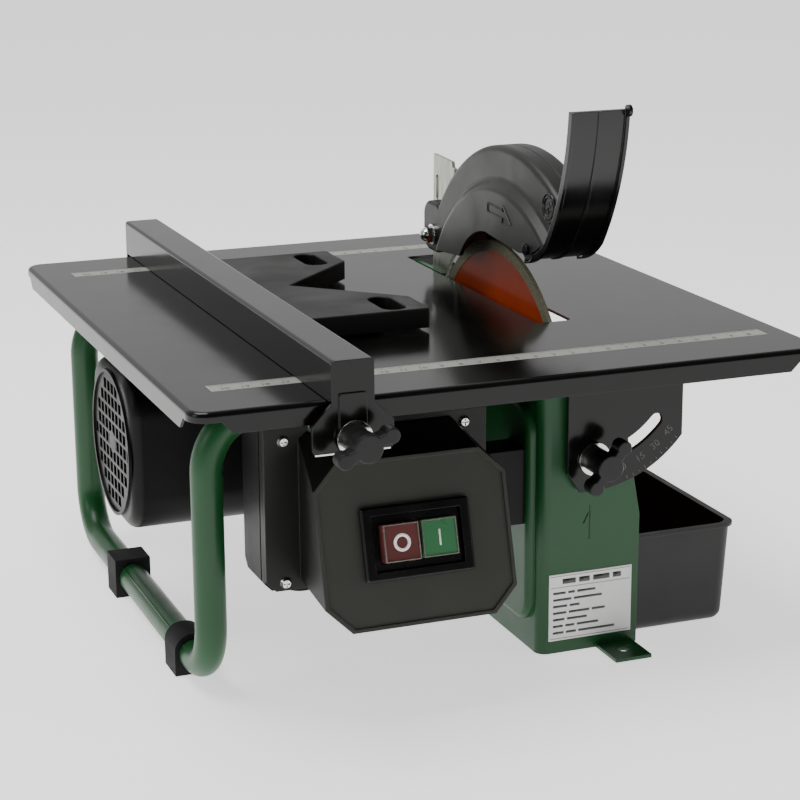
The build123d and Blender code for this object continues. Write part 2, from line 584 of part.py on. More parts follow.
def splash_flap():
    """Curved splash flap with raised edges, on a barrel that turns on the flap pin."""
    half, thick = GUARD_HALF, 2.2
    outer = front_curve(0.0)
    inner = front_curve(thick)
    lip_in = front_curve(-1.6)

    def band(a, b):
        edges = ThreePointArc(a[0], a[1], a[2]) + ThreePointArc(a[2], a[3], a[4]) + Line(a[4], b[4])
        edges += ThreePointArc(b[4], b[3], b[2]) + ThreePointArc(b[2], b[1], b[0]) + Line(b[0], a[0])
        return make_face(edges)

    web = along_x(band(outer, inner), BLADE_X - half, BLADE_X + half)
    for x in (BLADE_X - half, BLADE_X + half - 1.8):
        web += along_x(band(lip_in, outer), x, x + 1.8)
    web += along_x(band(front_curve(-0.7), outer), BLADE_X - 0.7, BLADE_X + 0.7)
    web += rod_x(BLADE_X + half - 1.8, BLADE_X + half, *front_curve(-1.6)[4], 3.0)
    ear_gap = 6.4
    for x in (BLADE_X - half, BLADE_X + half - WALL):
        web -= rod_x(x - 0.4, x + WALL + 0.4, FLAP_Y, FLAP_Z, ear_gap)
    barrel = rod_x(BLADE_X - half + WALL + 0.4, BLADE_X + half - WALL - 0.4, FLAP_Y, FLAP_Z, 4.6)
    web += barrel
    return web - rod_x(0.0, 120.0, FLAP_Y, FLAP_Z, PIN_R + GAP)


def flap_pin():
    """Pin through the guard's ears and the flap's barrel, with a round head on the right."""
    pin = rod_x(BLADE_X - GUARD_HALF - 1.0, BLADE_X + GUARD_HALF + 1.0, FLAP_Y, FLAP_Z, PIN_R)
    for x in (BLADE_X - GUARD_HALF - 1.5, BLADE_X + GUARD_HALF):
        pin += rod_x(x, x + 1.5, FLAP_Y, FLAP_Z, 3.0)
    return pin


# ---------------------------------------------------------------- fence
def fence_beam():
    """Folded channel, open below."""
    wall = 1.5
    beam = block(FENCE_X, FENCE_Y, (0.3, FENCE_TOP))
    ridge = [e for e in beam.edges().filter_by(Axis.Y) if e.center().Z > FENCE_TOP - 1]
    beam = fillet(ridge, 1.8)
    return beam - block((FENCE_X[0] + wall, FENCE_X[1] - wall), (-300, 300), (-1, FENCE_TOP - wall))


def fence_bracket():
    """Front plate: as wide as the beam above the table, then flared for the clamp."""
    y0, y1 = FENCE_Y[0] - BRACKET_T, FENCE_Y[0]
    wide, narrow, low = 20.0, 10.5, -23.6
    outline = polygon([(FENCE_MID - wide, low), (FENCE_MID + wide, low), (FENCE_MID + wide, -10.0),
                       (FENCE_MID + narrow, -0.5), (FENCE_MID + narrow, FENCE_TOP),
                       (FENCE_MID - narrow, FENCE_TOP), (FENCE_MID - narrow, -0.5),
                       (FENCE_MID - wide, -10.0)])
    outline = fillet([v for v in outline.vertices() if v.Y < low + 1 or v.Y > FENCE_TOP - 1], 2.0)
    plate = along_y(outline, y0, y1)
    strap = along_y(rounded((FENCE_MID - 7.0, FENCE_MID + 6.5), (low, 4.5), 1.2), y0 - 1.2, y0)
    return plate + strap - rod_y(y0 - 5, y1 + 5, STUD_X, STUD_Z, M6 + GAP)


def hook_outline(wall_y, sign):
    """Jaw in (Y, Z) that reaches under the table's skirt and up behind it."""
    y = [wall_y + sign * k for k in (0.0, 2.0, 8.5, 10.5)]
    return polygon([(y[0], -25.0), (y[1], -25.0), (y[1], -15.0), (y[3], -15.0), (y[3], -4.5),
                    (y[2], -4.5), (y[2], -13.0), (y[0], -13.0)])


def fence_clamp_plate():
    """Bright jaw that the knob draws against the inside of the table's skirt."""
    return along_x(hook_outline(FENCE_Y[0] + 0.2, 1), FENCE_MID - 18.0, FENCE_MID + 19.0)


def fence_stud():
    """Stud welded to the clamp jaw."""
    return rod_y(FENCE_Y[0] - 17.0, FENCE_Y[0] + 0.2, STUD_X, STUD_Z, M6)


def fence_washer():
    """Plain washer under the fence knob."""
    seat = FENCE_Y[0] - BRACKET_T - 1.2
    washer = rod_y(seat - 1.6, seat, STUD_X, STUD_Z, WASHER_R)
    return washer - rod_y(seat - 3, seat + 3, STUD_X, STUD_Z, M6 + GAP)


def fence_knob():
    """Wing knob that locks the fence."""
    return wing_knob(STUD_X, STUD_Z, FENCE_Y[0] - BRACKET_T - 1.2 - 1.8, -1, 24.0)


def fence_rear_hook():
    """Rear end plate of the fence with a hook under the table's rear skirt."""
    y0 = FENCE_Y[1]
    narrow = 10.5
    plate = block((FENCE_MID - narrow, FENCE_MID + narrow), (y0, y0 + 2.0), (-15.0, FENCE_TOP))
    plate = fillet([e for e in plate.edges().filter_by(Axis.Y) if e.center().Z > 0], 2.0)
    foot = block((FENCE_MID - narrow, FENCE_MID + narrow), (174.0, y0), (-15.0, -13.0))
    lip = block((FENCE_MID - narrow, FENCE_MID + narrow), (174.0, 176.0), (-13.0, -4.5))
    return plate + foot + lip


def corner_guide():
    """Moulded corner guide: square notch for a tile's corner and two hand slots."""
    x0, x1, y0, y1, low, top = FENCE_X[1] + 0.3, -5.5, -72.0, 90.0, 2.0, 12.5
    apex_y, half_mouth = 8.5, 50.0
    plate = block((x0, x1), (y0, y1), (low, top))
    notch = Polyline((x1 - half_mouth, apex_y), (x1 + 1, apex_y + half_mouth + 1),
                     (x1 + 1, apex_y - half_mouth - 1), close=True)
    plate -= extrude(Pos(0, 0, low - 1) * make_face(notch), top)
    for y in (-53.0, 69.5):
        slot = Pos(-22.5, y, low - 1) * Rot(0, 0, 90) * SlotOverall(32.0, 13.0)
        plate -= extrude(slot, top)
    upright = [e for e in plate.edges().filter_by(Axis.Z) if not x0 + 1 < e.center().X < x1 - 1]
    plate = fillet(upright, 2.0)
    plate = fillet(plate.faces().sort_by(Axis.Z)[-1].edges(), 0.8)
    for x in (-76.0, -40.0):
        for y in (-66.0, 76.0):
            plate += block((x, x + 8.0), (y, y + 8.0), (0.2, low))
    return plate


# ---------------------------------------------------------------- switch box
def face_plane(lift=0.0):
    """Plane of the sloping switch face, lifted along its outward normal."""
    tilt = radians(FACE_TILT)
    normal = Vector(0, -cos(tilt), sin(tilt))
    return Plane(origin=Vector(FACE_X, FACE_Y, FACE_Z) + normal * lift, x_dir=(1, 0, 0), z_dir=normal)


def octagon(half_x, half_y, cut):
    """Rectangle with its corners cut off."""
    corner = [(half_x - cut, half_y), (half_x, half_y - cut)]
    right = corner + [(x, -y) for x, y in reversed(corner)]
    return polygon(right + [(-x, y) for x, y in reversed(right)])


def switch_box():
    """Rear shell of the switch box, with a neck to the housing for the motor leads."""
    shell = block(BOX_X, (BOX_FRONT, BOX_BACK), BOX_Z)
    low_back = [e for e in shell.edges().filter_by(Axis.X) if e.center().Y > BOX_BACK - 1]
    shell = chamfer(low_back, 8.0)
    bottom = [e for e in shell.edges().filter_by(Axis.Y) if e.center().Z < BOX_Z[0] + 1]
    shell = chamfer(bottom, 3.5)
    groove_y = (BOX_FRONT + 5.0, BOX_FRONT + 6.5)
    core = block((BOX_X[0] + 0.9, BOX_X[1] - 0.9), groove_y, (BOX_Z[0] + 0.9, BOX_Z[1] - 0.9))
    shell -= block((BOX_X[0] - 1, BOX_X[1] + 1), groove_y, (BOX_Z[0] - 1, BOX_Z[1] + 1)) - core
    inner_x = (BOX_X[0] + BOX_WALL, BOX_X[1] - BOX_WALL)
    inner_z = (BOX_Z[0] + BOX_WALL, BOX_Z[1] - BOX_WALL)
    cavity = block(inner_x, (BOX_FRONT - 1, BOX_BACK - BOX_WALL), inner_z)
    cavity = chamfer([e for e in cavity.edges().filter_by(Axis.X) if e.center().Y > BOX_BACK - 5], 7.0)
    shell -= cavity
    neck_y, neck_z = (-118.0, -97.0), (-95.0, -55.0)
    neck = block((BOX_X[1] - 1, PAD_X), neck_y, neck_z)
    shell += neck
    duct_y = (neck_y[0] + BOX_WALL, neck_y[1] - BOX_WALL)
    shell -= block((BOX_X[1] - 10, PAD_X + 1), duct_y, (neck_z[0] + BOX_WALL, neck_z[1] - BOX_WALL))
    for x, z in BOX_SCREWS:
        post = rod_y(BOX_FRONT, BOX_BACK - 9.0, x, z, 4.4) & block(BOX_X, (BOX_FRONT, BOX_BACK), BOX_Z)
        shell = shell + post - rod_y(BOX_FRONT - 1, BOX_FRONT + 12.5, x, z, 1.6 + GAP)
    return shell - Pos(*GLAND, BOX_Z[0]) * Cylinder(GLAND_R, 8.0)


def cable_gland():
    """Rubber inlet bush for the mains lead, in the underside of the box."""
    x, y = GLAND
    low, top = BOX_Z[0] - 5.0, BOX_Z[0] + BOX_WALL + 2.0
    bush = Pos(x, y, (low + top) / 2) * Cylinder(GLAND_R - GAP, top - low)
    bush += Pos(x, y, BOX_Z[0] - 2.5) * Cylinder(8.0, 5.0)
    return bush - Pos(x, y, BOX_Z[0]) * Cylinder(3.4, 30.0)


def switch_cover():
    """Moulded hood: flat flange, then four sides drawn out to the sloping eight-sided face."""
    flange_t = 2.2
    flange = block(BOX_X, (BOX_FRONT - flange_t, BOX_FRONT), BOX_Z)
    flange = chamfer([e for e in flange.edges().filter_by(Axis.Y) if e.center().Z < BOX_Z[0] + 1], 5.0)
    root = Plane(origin=(FACE_X - 4.0, BOX_FRONT, -68.5), x_dir=(1, 0, 0), z_dir=(0, -1, 0))
    hood = loft([root * octagon(41.0, 39.5, 3.0), face_plane() * octagon(49.4, 40.7, 12.5)])
    hollow = loft([root * octagon(38.6, 37.1, 2.5), face_plane(-2.4) * octagon(46.6, 38.0, 11.5)])
    lip = extrude(face_plane() * (octagon(49.4, 40.7, 12.5) - octagon(47.6, 38.9, 11.8)), 0.9)
    shell = flange + hood + lip - hollow
    shell -= extrude(face_plane(-6.0) * Rectangle(*WINDOW), 12.0)
    for x, z in BOX_SCREWS:
        shell -= rod_y(BOX_FRONT - 5, BOX_FRONT + 1, x, z, 1.6 + GAP)
    return shell


def switch_bezel():
    """Frame of the switch, snapped into the hood's window."""
    frame = extrude(face_plane() * RectangleRounded(*BEZEL, 1.5), 3.2)
    frame = chamfer(frame.faces().sort_by(Axis.Y)[0].edges(), 1.0)
    sleeve = extrude(face_plane(-8.0) * Rectangle(WINDOW[0] - 0.4, WINDOW[1] - 0.4), 8.0)
    opening = extrude(face_plane(-9.0) * Rectangle(46.0, 27.0), 20.0)
    return frame + sleeve - opening


def switch_module():
    """Sealed contact block behind the buttons, with four tabs and a guide frame for each button."""
    outer = Rectangle(45.4, 26.4)
    body = extrude(face_plane(-MODULE_DEPTH) * outer, MODULE_DEPTH - 7.0)
    collar = extrude(face_plane(-7.0) * outer, 7.0 + 0.8)
    for x in BUTTON_X:
        collar -= extrude(face_plane(-7.0) * Pos(x, 0) * Rectangle(BUTTON[0] + 0.8, BUTTON[1] + 0.8), 9.0)
    body += collar
    for x in (-15.0, -5.0, 5.0, 15.0):
        body += extrude(face_plane(-MODULE_DEPTH - 7.0) * Pos(x, 0) * Rectangle(0.8, 6.3), 7.5)
    return body


def push_button(x, proud):
    """Square button cap that slides in the module's guide frame."""
    cap = extrude(face_plane(-2.0) * Pos(x, 0) * RectangleRounded(*BUTTON, 0.8), 2.0 + proud)
    return chamfer(cap.faces().sort_by(Axis.Y)[0].edges(), 0.5)


def switch_screws():
    """Four cross-head screws of the cover."""
    pieces = []
    seat = BOX_FRONT - 2.2
    for x, z in BOX_SCREWS:
        screw = rod_y(seat, BOX_FRONT + 12.0, x, z, 1.6)
        head = Pos(x, seat - 0.95, z) * Rot(90, 0, 0) * Cone(3.1, 2.0, 1.9)
        cross = block((x - 1.7, x + 1.7), (seat - 2.0, seat - 1.0), (z - 0.35, z + 0.35))
        cross += block((x - 0.35, x + 0.35), (seat - 2.0, seat - 1.0), (z - 1.7, z + 1.7))
        pieces.append(screw + head - cross)
    return group(pieces)


def run_capacitor():
    """Motor capacitor lying in the bottom of the switch box."""
    return rod_x(-85.0, -30.0, -108.0, -92.0, 11.0)


# ---------------------------------------------------------------- legs and tank
def leg_tube():
    """One bent tube: out from the housing under the table, down, along the bench and back."""
    top_r, low_r = 30.0, 28.0
    start = HOUSING_X[0] + PLATE
    path = FilletPolyline((start, LEG_Y[0], LEG_TOP), (LEG_X, LEG_Y[0], LEG_TOP), (LEG_X, LEG_Y[0], LEG_Z),
                          (LEG_X, LEG_Y[1], LEG_Z), (LEG_X, LEG_Y[1], LEG_TOP), (start, LEG_Y[1], LEG_TOP),
                          radius=(top_r, low_r, low_r, top_r))
    end = Plane(origin=(start, LEG_Y[0], LEG_TOP), x_dir=(0, 1, 0), z_dir=(-1, 0, 0))
    return sweep(end * (Circle(TUBE_R) - Circle(TUBE_R - 1.5)), path)


def leg_foot(y, arched):
    """Rubber block on the tube's bottom run; the front one has a rounded back."""
    half = 10.0
    x = (LEG_X - half, LEG_X + half)
    body = block(x, y, (-BENCH, -143.0))
    if arched:
        top = [e for e in body.edges().filter_by(Axis.Y) if e.center().Z > -150]
        body = fillet(top, 9.0)
    return body - rod_y(y[0] - 1, y[1] + 1, LEG_X, LEG_Z, TUBE_R)


def water_tank():
    """Moulded tray with drafted walls and a turned-out rim."""
    draft, wall, lip = 2.5, 2.0, 1.8
    mid_x, mid_y = sum(TANK_X) / 2, sum(TANK_Y) / 2
    wide, long = TANK_X[1] - TANK_X[0], TANK_Y[1] - TANK_Y[0]

    def tray(inset, floor):
        shrink = 2 * inset + 2 * draft
        low = Pos(mid_x, mid_y, floor) * RectangleRounded(wide - shrink, long - shrink, 7)
        top = Pos(mid_x, mid_y, TANK_RIM) * RectangleRounded(wide - 2 * inset, long - 2 * inset, 7)
        solid = loft([low, top])
        return fillet(solid.faces().sort_by(Axis.Z)[0].edges(), 6.0 - inset)

    rim = RectangleRounded(wide + 2 * lip, long + 2 * lip, 7 + lip) - RectangleRounded(wide - 2, long - 2, 6)
    shell = tray(0.0, -BENCH) - tray(wall, -BENCH + wall)
    return shell + extrude(Pos(mid_x, mid_y, TANK_RIM - 1.8) * rim, 1.8)


# ---------------------------------------------------------------- write the nodes
def nodes():
    """Every piece by name."""
    return {
        "table_top": table_top(),
        "ruler_front": ruler_bar(-RULER_Y),
        "ruler_rear": ruler_bar(RULER_Y),
        "quadrant_front": quadrant(*QUAD_FRONT),
        "quadrant_rear": quadrant(*QUAD_REAR),
        "housing": housing(),
        "rating_label": rating_label(),
        "knife_bracket": knife_bracket(),
        "riving_knife": riving_knife(),
        "knife_screws": knife_screws(),
        "tilt_pins": tilt_pins(),
        "bevel_studs": bevel_studs(),
        "bevel_washers": bevel_washers(),
        "bevel_knob_front": bevel_knob(True),
        "bevel_knob_rear": bevel_knob(False),
        "motor_shell": motor_shell(),
        "front_shield": front_shield(),
        "rear_shield": rear_shield(),
        "motor_bearings": motor_bearings(),
        "motor_bolts": motor_bolts(),
        "stator_core": stator_core(),
        "stator_windings": stator_windings(),
        "fan_cover": fan_cover(),
        "motor_shaft": motor_shaft(),
        "rotor_core": rotor_core(),
        "cooling_fan": cooling_fan(),
        "inner_flange": inner_flange(),
        "outer_flange": outer_flange(),
        "arbor_nut": arbor_nut(),
        "blade_core": blade_core(),
        "diamond_rim": diamond_rim(),
        "guard_left": guard_left(),
        "guard_right": guard_right(),
        "guard_screws": guard_screws(),
        "guard_bolt": guard_bolt(),
        "guard_nut": guard_nut(),
        "splash_flap": splash_flap(),
        "flap_pin": flap_pin(),
        "fence_beam": fence_beam(),
        "fence_bracket": fence_bracket(),
        "fence_clamp_plate": fence_clamp_plate(),
        "fence_stud": fence_stud(),
        "fence_washer": fence_washer(),
        "fence_knob": fence_knob(),
        "fence_rear_hook": fence_rear_hook(),
        "corner_guide": corner_guide(),
        "switch_box": switch_box(),
        "switch_cover": switch_cover(),
        "switch_screws": switch_screws(),
        "switch_bezel": switch_bezel(),
        "switch_module": switch_module(),
        "stop_button": push_button(BUTTON_X[0], 7.0),
        "start_button": push_button(BUTTON_X[1], 3.4),
        "run_capacitor": run_capacitor(),
        "cable_gland": cable_gland(),
        "leg_tube": leg_tube(),
        "foot_front": leg_foot((-84.0, -64.0), True),
        "foot_rear": leg_foot((39.0, 58.0), False),
        "water_tank": water_tank(),
    }


os.makedirs("parts", exist_ok=True)
for name, shape in nodes().items():
    export_step(shape, f"parts/{name}.step")
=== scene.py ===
"""Looks of the bench saw: every visible surface gets its finish, and the fine pieces are modelled here."""
import json
from math import cos, pi, radians, sin

import bpy
from mathutils import Matrix, Vector


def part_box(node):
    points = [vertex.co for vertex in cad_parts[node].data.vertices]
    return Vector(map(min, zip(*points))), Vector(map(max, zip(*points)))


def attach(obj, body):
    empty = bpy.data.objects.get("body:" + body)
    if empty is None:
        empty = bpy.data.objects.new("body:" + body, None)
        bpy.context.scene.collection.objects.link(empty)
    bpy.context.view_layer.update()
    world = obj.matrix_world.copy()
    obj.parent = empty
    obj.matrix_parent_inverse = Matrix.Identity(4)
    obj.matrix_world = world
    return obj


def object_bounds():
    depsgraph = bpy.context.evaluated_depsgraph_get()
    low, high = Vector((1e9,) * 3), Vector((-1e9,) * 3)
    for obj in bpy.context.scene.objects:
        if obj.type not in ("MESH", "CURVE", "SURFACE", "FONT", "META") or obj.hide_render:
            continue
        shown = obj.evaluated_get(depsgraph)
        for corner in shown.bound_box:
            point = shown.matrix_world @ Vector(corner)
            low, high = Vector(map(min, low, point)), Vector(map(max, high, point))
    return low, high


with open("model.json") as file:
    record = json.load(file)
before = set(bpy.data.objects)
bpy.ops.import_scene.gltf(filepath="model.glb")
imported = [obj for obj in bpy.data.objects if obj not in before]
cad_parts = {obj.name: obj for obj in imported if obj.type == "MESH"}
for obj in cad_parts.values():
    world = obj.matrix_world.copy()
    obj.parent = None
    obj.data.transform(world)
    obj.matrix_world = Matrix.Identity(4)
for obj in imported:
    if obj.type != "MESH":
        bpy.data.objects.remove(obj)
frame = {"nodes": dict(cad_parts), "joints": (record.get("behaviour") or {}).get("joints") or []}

nodes = frame["nodes"]
cad_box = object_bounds()
MM = 0.001

# ---------------------------------------------------------------- camera
# A long lens from the front left, a little above the table.
eye = Vector((-0.41551, -1.08821, 0.26287))
heading, pitch, roll = radians(21.13), radians(15.30), radians(-0.39)
forward = Vector((sin(heading) * cos(pitch), cos(heading) * cos(pitch), -sin(pitch)))
level = forward.cross(Vector((0, 0, 1))).normalized()
rise = level.cross(forward)
right = level * cos(roll) + rise * sin(roll)
up = rise * cos(roll) - level * sin(roll)
camera_data = bpy.data.cameras.new("camera")
camera_data.lens, camera_data.sensor_width = 97.8, 36.0
camera_data.clip_start, camera_data.clip_end = 0.05, 20.0
camera = bpy.data.objects.new("camera", camera_data)
camera.matrix_world = Matrix.Translation(eye) @ Matrix((right, up, -forward)).transposed().to_4x4()
bpy.context.scene.collection.objects.link(camera)
bpy.context.scene.camera = camera

# ---------------------------------------------------------------- floor and light
# A plain pale sheet under the saw, lit from below like a light table, one broad soft lamp over
# it, two weaker ones beside it, and a room that is dark in front and pale behind.


def deselect():
    """Nothing stays selected, so the next operator acts only on what it makes."""
    for thing in bpy.context.selected_objects:
        thing.select_set(False)
    bpy.context.view_layer.objects.active = None


def linear(code):
    """Linear colour of an sRGB hex value."""
    parts = [int(code[i:i + 2], 16) / 255 for i in (0, 2, 4)]
    return [p / 12.92 if p <= 0.04045 else ((p + 0.055) / 1.055) ** 2.4 for p in parts] + [1.0]


def add(tree, kind, settings=None, links=None):
    """Adds a shader node, sets its sockets or properties, and links sockets to its inputs."""
    made = tree.nodes.new(kind)
    for name, value in (settings or {}).items():
        if isinstance(name, int) or name in made.inputs:
            made.inputs[name].default_value = value
        else:
            setattr(made, name, value)
    for name, source in (links or {}).items():
        tree.links.new(source, made.inputs[name])
    return made


def start(name, **settings):
    """New material: its tree, its surface shader with these settings, and Object coordinates."""
    material = bpy.data.materials.new(name)
    material.use_nodes = True
    tree = material.node_tree
    shader = tree.nodes["Principled BSDF"]
    for socket, value in settings.items():
        shader.inputs[socket.replace("_", " ")].default_value = value
    place = add(tree, "ShaderNodeTexCoord").outputs["Object"]
    return material, tree, shader, place


bench_z = cad_box[0][2]
deselect()
bpy.ops.mesh.primitive_grid_add(x_subdivisions=8, y_subdivisions=8, size=40.0, location=(0, 0, bench_z))
floor = bpy.context.object
floor.name = "floor"
bpy.ops.object.transform_apply(location=True, rotation=True, scale=True)
paper = start("pale_paper", Base_Color=linear("f8f8f6"), Roughness=0.9, Emission_Color=linear("ffffff"),
              Emission_Strength=1.05)[0]
floor.data.materials.append(paper)

world = bpy.data.worlds.new("studio")
world.use_nodes = True
tree = world.node_tree
way = add(tree, "ShaderNodeTexCoord").outputs["Generated"]
axes = add(tree, "ShaderNodeSeparateXYZ", links={"Vector": way})
room = add(tree, "ShaderNodeMapRange", {"From Min": -0.3, "From Max": 0.9, "To Min": 0.08, "To Max": 0.75},
           {"Value": axes.outputs["Y"]})
sky = tree.nodes["Background"]
sky.inputs["Color"].default_value = linear("ffffff")
tree.links.new(room.outputs["Result"], sky.inputs["Strength"])
bpy.context.scene.world = world
for name, spot, size, power in (("over", (-0.5, 0.1, 1.5), 1.0, 20.0), ("left", (-1.7, -0.3, 0.7), 0.7, 4.0),
                                ("right", (1.5, -0.9, 0.8), 0.6, 5.0)):
    lamp = bpy.data.lights.new(name, "AREA")
    lamp.size, lamp.energy = size, power
    light = bpy.data.objects.new(name, lamp)
    light.location = spot
    light.rotation_euler = (Vector((0, 0, -0.08)) - Vector(spot)).to_track_quat("-Z", "Y").to_euler()
    bpy.context.scene.collection.objects.link(light)

# ---------------------------------------------------------------- table, quadrants and fence
# Pressed from steel sheet and stove-enamelled gloss black.  The quadrants are welded under the
# table; the fence is a folded channel with an end plate at the front and a hook at the rear.


def skin(name, code, edge_code, roughness, grain_mm, depth_mm, edge_wear_and_highlight=0.7, **settings):
    """Paint, plastic or rubber: fine grain in relief, cloudy gloss and tone, and edges painted paler, partly
    rubbed wear and partly a painted highlight where light catches them.
    """
    material, tree, shader, place = start(name, Roughness=roughness, **settings)
    grain = add(tree, "ShaderNodeTexNoise", {"Scale": 1 / (grain_mm * MM), "Detail": 3.0, "Roughness": 0.6},
                {"Vector": place})
    cloud = add(tree, "ShaderNodeTexNoise", {"Scale": 1 / (35 * MM), "Detail": 5.0, "Distortion": 0.6},
                {"Vector": place})
    dull = add(tree, "ShaderNodeMapRange", {"From Min": 0.3, "From Max": 0.7, "To Min": roughness * 0.85,
                                            "To Max": roughness * 1.2}, {"Value": cloud.outputs["Fac"]})
    soft = add(tree, "ShaderNodeBevel", {"samples": 4, "Radius": 0.6 * MM})
    shape = add(tree, "ShaderNodeNewGeometry")
    along = add(tree, "ShaderNodeVectorMath", {"operation": "DOT_PRODUCT"},
                {0: soft.outputs["Normal"], 1: shape.outputs["Normal"]})
    # Edges painted paler: partly real rubbing wear, partly a painted highlight standing in for light catching
    # the edges.
    edge = add(tree, "ShaderNodeMapRange", {"From Min": 0.99, "From Max": 0.8, "To Min": 0.0, "To Max": edge_wear_and_highlight},
               {"Value": along.outputs["Value"]})
    base = linear(code)
    body = add(tree, "ShaderNodeMix", {"data_type": "RGBA", 6: base, 7: [part * 1.5 for part in base]},
               {0: cloud.outputs["Fac"]})
    colour = add(tree, "ShaderNodeMix", {"data_type": "RGBA", 7: linear(edge_code)},
                 {0: edge.outputs["Result"], 6: body.outputs[2]})
    bump = add(tree, "ShaderNodeBump", {"Strength": 0.3, "Distance": depth_mm * MM},
               {"Height": grain.outputs["Fac"], "Normal": soft.outputs["Normal"]})
    tree.links.new(colour.outputs[2], shader.inputs["Base Color"])
    tree.links.new(dull.outputs["Result"], shader.inputs["Roughness"])
    tree.links.new(bump.outputs["Normal"], shader.inputs["Normal"])
    return material


def wear(nodes_named, material):
    """Puts one material on the named CAD nodes."""
    for name in nodes_named:
        mesh = nodes[name].data
        mesh.materials.clear()
        mesh.materials.append(material)


wear(["table_top", "quadrant_front", "quadrant_rear", "fence_beam", "fence_bracket", "fence_rear_hook"],
     skin("black_stove_enamel", "0a0a09", "30302d", 0.15, 1.6, 0.03, IOR=1.38))

# ---------------------------------------------------------------- fasteners and clamps
# Zinc-plated screws, pins and studs, bright nickel washers and bolts, and black nylon knobs.


def steel(name, code, roughness, grain_mm, stretch=(1, 1, 1), **settings):
    """Bare or plated metal: fine scratches drawn out along one way, and patchy brightness."""
    material, tree, shader, place = start(name, Metallic=1.0, Roughness=roughness, **settings)
    drawn = add(tree, "ShaderNodeMapping", {"Scale": stretch}, {"Vector": place})
    lines = add(tree, "ShaderNodeTexNoise", {"Scale": 1 / (grain_mm * MM), "Detail": 3.0},
                {"Vector": drawn.outputs["Vector"]})
    patch = add(tree, "ShaderNodeTexNoise", {"Scale": 1 / (12 * MM), "Detail": 4.0}, {"Vector": place})
    dull = add(tree, "ShaderNodeMapRange", {"From Min": 0.3, "From Max": 0.7, "To Min": roughness * 0.75,
                                            "To Max": roughness * 1.35}, {"Value": lines.outputs["Fac"]})
    bright = linear(code)
    tint = add(tree, "ShaderNodeMix", {"data_type": "RGBA", 6: [part * 0.78 for part in bright], 7: bright},
               {0: patch.outputs["Fac"]})
    soft = add(tree, "ShaderNodeBevel", {"samples": 4, "Radius": 0.25 * MM})
    bump = add(tree, "ShaderNodeBump", {"Strength": 0.2, "Distance": 0.03 * MM},
               {"Height": lines.outputs["Fac"], "Normal": soft.outputs["Normal"]})
    tree.links.new(tint.outputs[2], shader.inputs["Base Color"])
    tree.links.new(dull.outputs["Result"], shader.inputs["Roughness"])
    tree.links.new(bump.outputs["Normal"], shader.inputs["Normal"])
    return material


wear(["knife_screws", "tilt_pins", "bevel_studs", "motor_bolts", "arbor_nut", "guard_screws", "guard_nut",
      "fence_stud"], steel("zinc_plate", "b9bab4", 0.28, 0.6))
wear(["bevel_washers", "fence_washer", "guard_bolt", "switch_screws", "fence_clamp_plate"],
     steel("bright_nickel", "e6e6e2", 0.12, 0.4))
wear(["fence_knob", "bevel_knob_front", "bevel_knob_rear"],
     skin("nylon_knob", "101010", "484846", 0.42, 0.8, 0.05, Specular_IOR_Level=0.35))

# ---------------------------------------------------------------- corner guide
# A flat block moulded in dark nylon, with a square notch for a tile's corner and two finger slots;
# its raised end straddles the fence and slides along it.
wear(["corner_guide"], skin("guide_nylon", "121311", "454743", 0.48, 0.9, 0.07, Specular_IOR_Level=0.35))

# ---------------------------------------------------------------- housing, knife bracket and leg
# Folded sheet and bent tube, powder-coated bottle green with a semi-gloss, slightly pebbled skin.
# Rubber feet clasp the tube, and a rubber gland sits in the switch box.
wear(["housing", "knife_bracket", "leg_tube"],
     skin("green_powder_coat", "10421f", "3f7049", 0.34, 1.1, 0.04, Specular_IOR_Level=0.4))
wear(["foot_front", "foot_rear", "cable_gland"],
     skin("black_rubber", "0c0c0c", "2c2c2b", 0.7, 0.5, 0.07, Specular_IOR_Level=0.3))

# ---------------------------------------------------------------- riving knife
# A blade of galvanised sheet behind the saw blade, with its rolling grain running upwards; two
# screws hold it to the green bracket.
wear(["riving_knife"], steel("galvanised_sheet", "c6c7bc", 0.42, 2.5, stretch=(1, 1, 0.15)))

# ---------------------------------------------------------------- blade and arbor
# The disc is a lacquered steel core with faint turning marks; its rim is sintered diamond grit.
# It sits between two ground flanges on the motor's shaft.
wear(["inner_flange", "outer_flange", "motor_shaft", "motor_bearings"],
     steel("ground_steel", "a8a8a4", 0.3, 0.5))
lacquer, tree, shader, place = start("orange_lacquer", Roughness=0.38, Coat_Weight=0.15)
low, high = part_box("blade_core")
hub = (low + high) / 2
centred = add(tree, "ShaderNodeMapping", {"Location": -hub}, {"Vector": place})
rings = add(tree, "ShaderNodeTexWave", {"wave_type": "RINGS", "rings_direction": "X", "Scale": 17.0,
                                        "Distortion": 1.5, "Detail": 3.0},
            {"Vector": centred.outputs["Vector"]})
stain = add(tree, "ShaderNodeTexNoise", {"Scale": 1 / (25 * MM), "Detail": 4.0}, {"Vector": place})
paint = add(tree, "ShaderNodeMix", {"data_type": "RGBA", 6: linear("cf4a10"), 7: linear("94300b")},
            {0: stain.outputs["Fac"]})
turned = add(tree, "ShaderNodeBump", {"Strength": 0.15, "Distance": 0.05 * MM},
             {"Height": rings.outputs["Fac"]})
tree.links.new(paint.outputs[2], shader.inputs["Base Color"])
tree.links.new(turned.outputs["Normal"], shader.inputs["Normal"])
wear(["blade_core"], lacquer)

rim, tree, shader, place = start("sintered_diamond_rim", Roughness=0.55, Metallic=0.6)
grit = add(tree, "ShaderNodeTexVoronoi", {"Scale": 1 / (0.9 * MM)}, {"Vector": place})
sand = add(tree, "ShaderNodeMix", {"data_type": "RGBA", 6: linear("b7b296"), 7: linear("777763")},
           {0: grit.outputs["Distance"]})
rough = add(tree, "ShaderNodeBump", {"Strength": 0.6, "Distance": 0.15 * MM},
            {"Height": grit.outputs["Distance"]})
tree.links.new(sand.outputs[2], shader.inputs["Base Color"])
tree.links.new(rough.outputs["Normal"], shader.inputs["Normal"])
wear(["diamond_rim"], rim)

